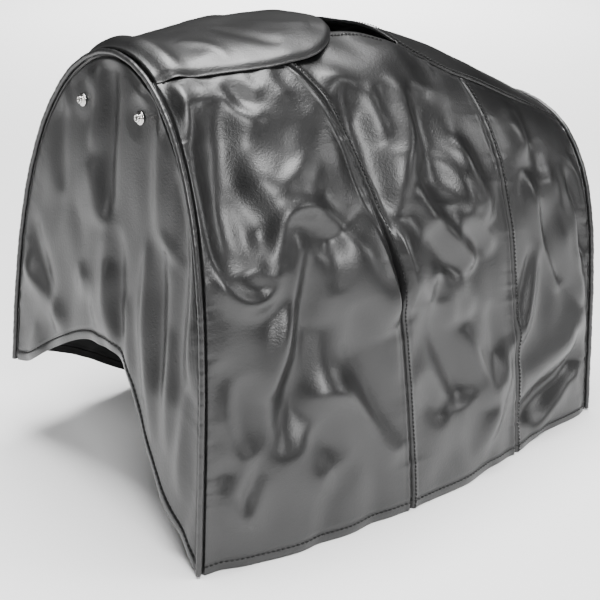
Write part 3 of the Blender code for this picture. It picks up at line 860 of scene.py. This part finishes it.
# ---------------------------------------------------------------- front and rear panels
# Folds of the front panel, along lines of y and z in millimetres.
FRONT_FOLDS = folds(
    (5.0, 12, (-178, 455, -184, 350, -180, 250, -178, 190)),
    (-4.0, 10, (-142, 470, -150, 350, -148, 240, -150, 170)),
    (-5.0, 9, (10, 505, 4, 440, 6, 380, 0, 330)),
    (3.5, 7, (30, 500, 28, 450, 34, 400)),
    (3.0, 5, (46, 492, 48, 455)),
    (3.0, 6, (100, 470, 94, 430)),
    (-3.0, 9, (120, 455, 108, 400, 100, 340)),
    (3.0, 5, (-60, 500, -64, 460)),
    (3.0, 8, (-90, 490, -96, 420, -100, 330)),
    (3.0, 12, (40, 390, 20, 350, 12, 320)),
    (5.0, 10, (190, 240, 120, 205, 80, 180)),
    (-4.0, 10, (170, 300, 140, 240, 110, 190)),
    (5.0, 9, (60, 270, 26, 230, 0, 190)),
    (-4.0, 7, (40, 255, 20, 215, -15, 178)),
    (4.5, 8, (-6, 290, -10, 240, -30, 190)),
    (-3.5, 7, (-22, 330, -26, 260, -40, 205)),
    (4.0, 7, (-40, 260, -50, 215, -62, 165)),
    (5.0, 7, (-82, 330, -86, 250, -96, 180, -110, 110)),
    (-4.0, 7, (-104, 330, -108, 250, -116, 170)),
    (3.5, 6, (-128, 250, -136, 180, -140, 110)),
    (3.0, 6, (-164, 200, -166, 130, -170, 70)),
    (3.0, 4, (-100, 345, -128, 325, -150, 315)),
    (-2.5, 4, (-150, 330, -128, 318, -104, 322)),
    (3.0, 7, (150, 170, 162, 140, 170, 115)),
    (-3.0, 6, (110, 190, 130, 160, 140, 138)),
)


PANEL_STEP = 0.002        # spacing of the end panels' relief grid
PANEL_LOW = (-0.230, -0.020)
PANEL_HIGH = (0.240, 0.540)
PANEL_RELIEF = {}


def panel_table(folds, seed):
    """How far an end panel's cloth stands off its plane, on a grid of y and z."""
    y, z = np.meshgrid(np.arange(PANEL_LOW[0], PANEL_HIGH[0], PANEL_STEP),
                       np.arange(PANEL_LOW[1], PANEL_HIGH[1], PANEL_STEP), indexing="ij")
    in_metres = [(tuple((a / U_METRES, b / V_METRES) for a, b in line), high, wide)
                 for line, high, wide in folds]
    relief = folds_at(y / U_METRES, z / V_METRES, in_metres, 1.6, 2.0)
    points = np.stack((y, z, 0 * y), -1)
    swapped = points[..., [0, 2, 1]]
    relief += 0.0030 * noise_at(points, (11.0, 5.0, 1.0), seed)
    relief += 0.0080 * crumple(swapped, (14.0, 1.0, 6.0), seed + 2, 0.06)
    relief += 0.0012 * noise_at(points, (34.0, 18.0, 1.0), seed + 4)
    return blurred(relief, 4)


def end_relief(y, z, inner, folds, seed):
    """How far an end panel's cloth stands off its plane; inner is the distance to its edge."""
    if seed not in PANEL_RELIEF:
        PANEL_RELIEF[seed] = panel_table(folds, seed)
    table = PANEL_RELIEF[seed]
    a = ((y - PANEL_LOW[0]) / PANEL_STEP).clip(0, table.shape[0] - 1.001)
    b = ((z - PANEL_LOW[1]) / PANEL_STEP).clip(0, table.shape[1] - 1.001)
    relief = between(table, a, b)
    for stud_y, stud_z in STUDS:
        relief = relief * fade(np.hypot(y - stud_y, z - stud_z) - 0.006, 0.022)
    return relief * fade(inner, 0.020)


def arch_profile(u, v_start, v_end, count):
    """Evenly spaced (y, z) points of an arch."""
    outline = arch(u, 400)
    share = along(outline)
    places = np.linspace(v_start, v_end, count)
    return np.column_stack((np.interp(places, share, outline[:, 0]),
                            np.interp(places, share, outline[:, 1])))


def moved_in(outline, distance):
    """An outline moved towards its inner side."""
    slopes = np.gradient(outline, axis=0)
    slopes /= np.linalg.norm(slopes, axis=1)[:, None]
    return outline + np.column_stack((slopes[:, 1], -slopes[:, 0])) * distance


def panel_grid(edge, lower, lines):
    """A grid of (y, z) between an arched edge and a lower edge, column by column."""
    share = 1 - (1 - np.linspace(0, 1, lines)[:, None, None]) ** 1.4
    return lower[None] * (1 - share) + edge[None] * share


def seam_distance(flat, edge):
    """Distance of each point of a flat grid from an arched edge."""
    points = flat.reshape(-1, 2)
    best = np.full(len(points), 1e9)
    for start in range(0, len(edge), 4):
        gap = np.hypot(points[:, 0] - edge[start, 0], points[:, 1] - edge[start, 1])
        best = np.minimum(best, gap)
    return best.reshape(flat.shape[:2])


def tucked_in(flat, edge, arch_line):
    """In-plane move that brings a panel's edge behind the piping."""
    inward = moved_in(edge, 1.0) - edge
    return inward[None] * tuck(seam_distance(flat, arch_line))[..., None]


def front_surface(flat, edge):
    """The front panel's finished cloth at flat (y, z) points."""
    y, z = flat[..., 0], flat[..., 1]
    inner = seam_distance(flat, edge)
    lower = np.interp(y, FRONT_LOWER[:, 0], FRONT_LOWER[:, 1])
    hem = z - lower
    relief = end_relief(y, z, inner, FRONT_FOLDS, 51.0)
    run = np.arctan2(z - 0.25, y) * 0.22
    relief += gathers(inner, run, 2.0, 0.0022) * fade(inner, 0.003)
    relief += groove(inner) - tuck(inner)
    relief += 0.0012 * np.sin(y * 90 + 1) * np.exp(-np.clip(hem, 0, 1) / 0.03)
    relief -= 0.0014 * np.exp(-((hem - 0.0125) / 0.0016) ** 2)
    relief += 0.0010 * np.exp(-((hem - 0.006) / 0.005) ** 2)
    return np.stack((FRONT_X + FRONT_LEAN * z - relief, y, z), -1)


PANEL_GAP = 0.0004        # how far inside its arch a panel's edge lies
FRONT_ARCH = moved_in(arch_profile(0, 0, float(np.interp(0, *HEM_FAR)), 900), PANEL_GAP)
LOWER_Y = np.linspace(CUT_OUT[0, 0] + 0.0026, CUT_OUT[-1, 0] - 0.0026, 500)
FRONT_LOWER = np.column_stack((LOWER_Y, [smooth(CUT_OUT, y)[0] for y in LOWER_Y]))


def evenly(line, share):
    """Points of a line at shares of its number of points."""
    places = np.linspace(0, 1, len(line))
    return np.column_stack([np.interp(share, places, line[:, k]) for k in range(2)])


def front_rows(line, heights, behind):
    """Rows of points behind the front panel's cloth, at heights above a line of (y, z)."""
    return np.array([front_surface((line + (0, up))[None], FRONT_ARCH)[0] + (behind, 0, 0)
                     for up in heights])


def front_panel():
    """Front panel with its cut-out, hem band and stitches."""
    share = np.linspace(0, 1, 220)
    edge = evenly(FRONT_ARCH[FRONT_ARCH[:, 1] > 0.012], share)
    flat = panel_grid(edge, evenly(FRONT_LOWER, share), 260)
    points = front_surface(flat, FRONT_ARCH)
    points[..., 1:] += tucked_in(flat, edge, FRONT_ARCH)
    place_panel("front", points[:, ::-1])
    inner = FRONT_LOWER[8:-8]
    rows = front_rows(inner, np.linspace(0.0004, HEM_HEIGHT, 6), 0.0016)
    backing("front_hem_band", rows[:, ::-1], HEM_THICKNESS)
    path = front_rows(inner, (0.0108,), 0)[0]
    stitches("front_hem_stitches", path, np.tile((-1.0, 0.0, 0.1), (len(path), 1)), **HEM_STITCH)


def place_panel(end, grid):
    """Place an end panel as a sheet of vinyl."""
    cloth(f"{end}_end_panel", grid)


def rear_panel():
    """Rear panel, square to X, with soft drape folds, and its hem band."""
    edge = moved_in(arch_profile(1, 0.0001, 0.9999, 260), PANEL_GAP)[2:-2]
    low = np.column_stack((np.linspace(edge[0, 0], edge[-1, 0], len(edge)), 0 * edge[:, 0]))
    flat = panel_grid(edge, low, 220)
    y, z = flat[..., 0], flat[..., 1]
    inner = seam_distance(flat, moved_in(arch_profile(1, 0, 1, 900), PIPING_RADIUS))
    relief = end_relief(y, z, inner, REAR_FOLDS, 71.0) * 0.55
    relief += gathers(inner, np.arctan2(z - 0.2, y) * 0.2, 7.0, 0.0016) * fade(inner, 0.003)
    relief -= 0.0010 * np.exp(-((z - HEM_FOLD) / 0.0016) ** 2)
    relief += groove(inner) - tuck(inner)
    points = np.stack((REAR_X - 0.0004 + relief.clip(-0.005, 0.0035), y, z), -1)
    points[..., 1:] += tucked_in(flat, edge, moved_in(arch_profile(1, 0, 1, 900), PANEL_GAP))
    place_panel("rear", points)
    rows = [min(int(np.searchsorted(column, HEM_STITCH_HEIGHT)), len(points) - 1)
            for column in z.T]
    path = np.array([points[rows[k], k] for k in range(6, len(edge) - 6)])
    stitches("rear_hem_stitches", path, np.tile((1.0, 0, 0), (len(path), 1)), **HEM_STITCH)
    y_line = np.linspace(-WIDTH / 2 + 0.006, WIDTH / 2 - 0.006, 120)
    y, z = np.meshgrid(y_line, np.linspace(0.0003, HEM_HEIGHT, 5))
    rows = np.stack((np.full_like(y, REAR_X - 0.0062), y, z), -1)
    backing("rear_hem_band", rows, HEM_THICKNESS)


REAR_FOLDS = folds(
    (5.0, 14, (-150, 360, -140, 250, -150, 120, -140, 20)),
    (-5.0, 12, (-80, 380, -90, 280, -70, 160)),
    (4.5, 12, (-20, 390, -30, 260, -20, 120, -30, 20)),
    (-4.5, 13, (60, 385, 50, 250, 65, 120)),
    (5.0, 12, (120, 370, 130, 240, 115, 100, 125, 20)),
    (3.5, 9, (-120, 160, -60, 110, 10, 120)),
)


# ---------------------------------------------------------------- pipings
SLEEVE_RADIUS = 0.0031
CORE_RADIUS = 0.0014


def pipings():
    """Welt cords round both arches, a little wavy as sewn, with their cut ends."""
    far_end = float(np.interp(0, *HEM_FAR))
    for name, u, v_end, ahead in (("front", 0.0, far_end, -1), ("rear", 1.0, 1.0, 1)):
        v = np.linspace(PIPING_TAIL / V_METRES, v_end - (0.0022 if u else 0), 900)
        path = look_up(SKIN, np.full_like(v, u), v)
        sway = 0.0005 + 0.0002 * np.sin(v * 90) + 0.0002 * np.sin(v * 90 * 2.7 + 1)
        path = path + look_up(NORMALS, np.full_like(v, u), v) * sway[:, None]
        path = path + np.array((0.0005 * ahead, 0, 0))
        radius = SLEEVE_RADIUS * (1 + 0.03 * np.sin(v * 700) + 0.02 * np.sin(v * 1130 + 2))
        sleeve = f"{name}_piping_sleeve"
        thicken(place(sleeve, tube_mesh(sleeve, path, radius), PIPING_SKIN, replaced=(sleeve,)),
                0.0005)
        core = f"{name}_piping_core"
        place(core, tube_mesh(core, path[4:-4], CORE_RADIUS, 10), THREAD, slot="cord",
              replaced=(core,))


# ---------------------------------------------------------------- flap
def flap_half(t):
    """Half width of the flap at t."""
    half = smooth(FLAP_WIDTHS, t)[0]
    if t > FLAP_ROUND_FROM:
        half *= (1 - ((t - FLAP_ROUND_FROM) / (1 - FLAP_ROUND_FROM)) ** 3.2) ** 0.5
    return half


# Folds of the flap, along lines of the shares along and across it.
FLAP_FOLDS = folds(
    (3.0, 14, (60, -950, 90, -600, 70, -200, 80, 300, 70, 900)),
    (2.5, 8, (100, -900, 200, -800, 300, -720)),
    (3.0, 7, (220, -300, 300, -550, 340, -850)),
    (-2.5, 8, (460, -100, 500, -450, 600, -800)),
    (3.0, 10, (660, -100, 740, -400, 860, -600)),
    (2.0, 16, (300, 100, 450, 200, 620, 150)),
    (3.0, 10, (500, 550, 620, 600, 740, 550)),
)


FLAP_HALF = 0.10          # the flap's usual half width, for measuring folds


def flap_surface(t, across, drop=0.0):
    """Points and normals of the flap's cloth at arrays of t and the share across."""
    half = np.interp(t, *FLAP_HALVES)
    u = (FLAP_START + t * FLAP_LENGTH) / ROOF_LENGTH
    reach = np.array([np.interp(h, *roof_reach(float(a))) for h, a in
                      zip(half[:, 0], u[:, 0])])[:, None]
    v = 0.5 + reach * across
    lift = FLAP_LIFT_SEAM + (FLAP_LIFT_END - FLAP_LIFT_SEAM) * np.minimum(t * 2.5, 1)
    points, normals = look_up(SKIN, u, v), look_up(NORMALS, u, v)
    lines = [(tuple((a * FLAP_LENGTH / U_METRES, b * FLAP_HALF / V_METRES) for a, b in line),
              high, wide) for line, high, wide in FLAP_FOLDS]
    relief = folds_at(t * FLAP_LENGTH / U_METRES, across * FLAP_HALF / V_METRES, lines)
    relief += 0.0012 * noise_at(points, (16.0, 14.0, 10.0), 81.0)
    relief += 0.0008 * noise_at(points, (40.0, 40.0, 30.0), 85.0)
    relief *= fade(t * FLAP_LENGTH, 0.012)
    rim = np.minimum((1 - np.abs(across)) * half, (1 - t) * FLAP_LENGTH)
    relief -= 0.0034 * np.exp(-(rim / 0.0060) ** 2)
    roll = t * FLAP_LENGTH
    relief += 0.0050 * np.exp(-((roll - 0.020) / 0.012) ** 2)
    relief = relief.clip(-0.0036, None)
    return points + normals * (lift + relief - drop)[..., None], normals


def roof_reach(u):
    """Half widths of the roof at u, and how far from the ridge in v they lie."""
    outline, share = near_half(u)
    return -outline[::-1, 0], 0.5 - share[::-1]


FLAP_HALVES = (np.linspace(0, 1, 201), np.array([flap_half(t) for t in np.linspace(0, 1, 201)]))


def flap():
    """Access flap lying on the roof from its seam, with its lining."""
    t = np.concatenate((np.linspace(0, 0.9, 130), 1 - 0.1 * np.linspace(1, 0.03, 40)[1:] ** 1.5))
    across = np.linspace(-1, 1, 181)
    t, across = np.meshgrid(t, across, indexing="ij")
    top, _ = flap_surface(t, across)
    under, _ = flap_surface(t, across * 0.985, VINYL + 0.0003)
    piece = cloth("access_flap", top, body=None)
    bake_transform(piece)
    lining = backing("access_flap_lining", under, 0.0008, body=None)
    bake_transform(lining)


# ---------------------------------------------------------------- metal fittings
STUD_PROFILE = (
    (0.0022, 0.0046), (0.0024, 0.0052), (0.0034, 0.0054), (0.0041, 0.0050), (0.0044, 0.0042),
    (0.0043, 0.0034), (0.0038, 0.0026), (0.0037, 0.0018), (0.0042, 0.0014), (0.0060, 0.0012),
    (0.0068, 0.0011), (0.0073, 0.0008), (0.0075, 0.0004), (0.0075, 0.0), (0.0022, 0.0),
)
RIVET_PROFILE = ((0.0018, 0.0045), (0.0018, 0.0), (0.0060, 0.0), (0.0060, -0.0006),
                 (0.0052, -0.0012), (0.0003, -0.0012))
CAP_PROFILE = ((0.0002, 0.0021), (0.0014, 0.00205), (0.0030, 0.0019), (0.0045, 0.0016),
               (0.0058, 0.0012), (0.0068, 0.0007), (0.0074, 0.0002), (0.0075, -0.0003),
               (0.0018, -0.0003), (0.0018, -0.0046))
SOCKET_PROFILE = ((0.0022, 0.0), (0.0058, 0.0), (0.0062, -0.0005), (0.0062, -0.0014),
                  (0.0058, -0.0018), (0.0050, -0.0018), (0.0050, -0.0008), (0.0022, -0.0008))


CAP_ALONG = 0.155         # the flap's snap: distance from the seam, and from the middle line
CAP_ACROSS = 0.079


def turned(name, profile, spot, body="cover", steps=48):
    """A smooth turned fitting."""
    angles = np.linspace(0, 2 * math.pi, steps, endpoint=False)
    rows = np.array([[(r * math.cos(a), r * math.sin(a), h) for a in angles] for r, h in profile])
    data = mesh_from_grid(name, rows[::-1], closed=True)
    data.transform(spot)
    return place(name, data, NICKEL, body=body, slot="nickel", replaced=(name,))


def fittings():
    """Snap studs on the front panel and the snap on the flap."""
    outward = Matrix.Rotation(math.atan(FRONT_LEAN) - math.pi / 2, 4, "Y")
    for label, (y, z) in zip(("near", "far"), STUDS):
        x = FRONT_X + FRONT_LEAN * z
        spot = Matrix.Translation((x, y, z)) @ outward
        turned(f"{label}_snap_stud", STUD_PROFILE,
               spot @ Matrix.Translation((0, 0, VINYL / 2 + 0.0003)))
        turned(f"{label}_stud_rivet", RIVET_PROFILE,
               spot @ Matrix.Translation((0, 0, -VINYL / 2 - 0.0016)))
    y = np.linspace(-0.075, 0.075, 40)
    line = np.column_stack((y, np.full_like(y, STUDS[0][1])))
    backing("stud_backing_strip",
            front_rows(line, np.linspace(-0.014, 0.014, 8), VINYL + 0.0004), 0.0010)
    t = CAP_ALONG / FLAP_LENGTH
    share = CAP_ACROSS / float(np.interp(t, *FLAP_HALVES))
    grid_t, grid_a = np.meshgrid(np.array((t, t + 0.01)), np.array((share, share + 0.01)),
                                 indexing="ij")
    points, normals = flap_surface(grid_t, grid_a)
    point, normal = Vector(points[0, 0]), Vector(normals[0, 0])
    spot = Matrix.Translation(point) @ normal.to_track_quat("Z", "Y").to_matrix().to_4x4()
    turned("flap_snap_cap", CAP_PROFILE, spot @ Matrix.Translation((0, 0, 0.0004)), body="flap")
    turned("flap_snap_socket", SOCKET_PROFILE, spot @ Matrix.Translation((0, 0, -0.0024)),
           body="flap")


def elastic():
    """Elastic inside the front hem."""
    rows = front_rows(FRONT_LOWER[12:-12], np.linspace(0.003, 0.009, 4), 0.0012)
    backing("front_hem_elastic", rows[:, ::-1], 0.0003, slot="elastic")


# ---------------------------------------------------------------- stage
FLOOR = 40                # half the floor's side, in metres
WORLD_STRENGTH = 0.03
LENS = 74.76
CAMERA_PLACE = (-0.931, -1.132, 0.736)
CAMERA_PITCH = 21.07      # degrees below level
CAMERA_HEADING = (0.6310, 0.7758)
# Lamps: name, place, target, side in metres, power in watts and spread in degrees.
LAMPS = (
    ("key", (-1.5, -2.9, 2.1), (0, 0, 0.25), 0.9, 100, 180),
    ("near", (2.4, -2.5, 1.6), (0, 0, 0.25), 0.9, 30, 180),
    ("top", (0.2, 0.0, 3.4), (0, 0, 0.3), 2.4, 340, 180),
    ("front", (-2.8, 1.6, 1.5), (0, 0, 0.30), 0.8, 24, 180),
    ("background", (2.2, 2.6, 5.2), (2.9, 3.5, 0), 1.8, 210, 75),
)


def soft_light(name, location, target, size, power, spread):
    """A square soft lamp that looks at a point; its grid keeps the light within a spread."""
    lamp = bpy.data.lights.new(name, "AREA")
    lamp.shape = "RECTANGLE"
    lamp.size, lamp.size_y = size
    lamp.energy = power
    lamp.spread = math.radians(spread)
    thing = linked(name, lamp)
    thing.location = location
    thing.rotation_euler = (Vector(target) - Vector(location)).to_track_quat("-Z", "Y").to_euler()


def stage():
    """Pale floor, soft studio light and the camera."""
    data = bpy.data.meshes.new("floor")
    data.from_pydata([(-FLOOR, -FLOOR, 0), (FLOOR, -FLOOR, 0), (FLOOR, FLOOR, 0),
                      (-FLOOR, FLOOR, 0)], [], [(0, 1, 2, 3)])
    floor = linked("floor", data)
    made, tree, shader, coordinate = nodes_of("paper")
    cloudy = noise_node(tree, 0.6, 2, coordinate)
    tree.links.new(mixed(tree, cloudy, (0.90, 0.90, 0.90), (0.94, 0.94, 0.94)),
                   shader.inputs["Base Color"])
    shader.inputs["Roughness"].default_value = 0.9
    floor.data.materials.append(made)

    for name, location, target, size, power, spread in LAMPS:
        soft_light(f"{name}_light", location, target, (size, size), power, spread)

    world = bpy.data.worlds.new("studio")
    world.use_nodes = True
    background = world.node_tree.nodes["Background"]
    background.inputs["Color"].default_value = (1, 1, 1, 1)
    background.inputs["Strength"].default_value = WORLD_STRENGTH
    bpy.context.scene.world = world

    lens = bpy.data.cameras.new("camera")
    lens.lens = LENS
    lens.sensor_width = 36
    camera = linked("camera", lens)
    camera.location = CAMERA_PLACE
    pitch = math.radians(CAMERA_PITCH)
    aim = Vector((CAMERA_HEADING[0] * math.cos(pitch), CAMERA_HEADING[1] * math.cos(pitch),
                  -math.sin(pitch)))
    camera.rotation_euler = aim.to_track_quat("-Z", "Y").to_euler()
    bpy.context.scene.camera = camera


# ---------------------------------------------------------------- build
sides()
roof_strip()
bindings()
front_panel()
rear_panel()
elastic()
pipings()
flap()
fittings()
stage()
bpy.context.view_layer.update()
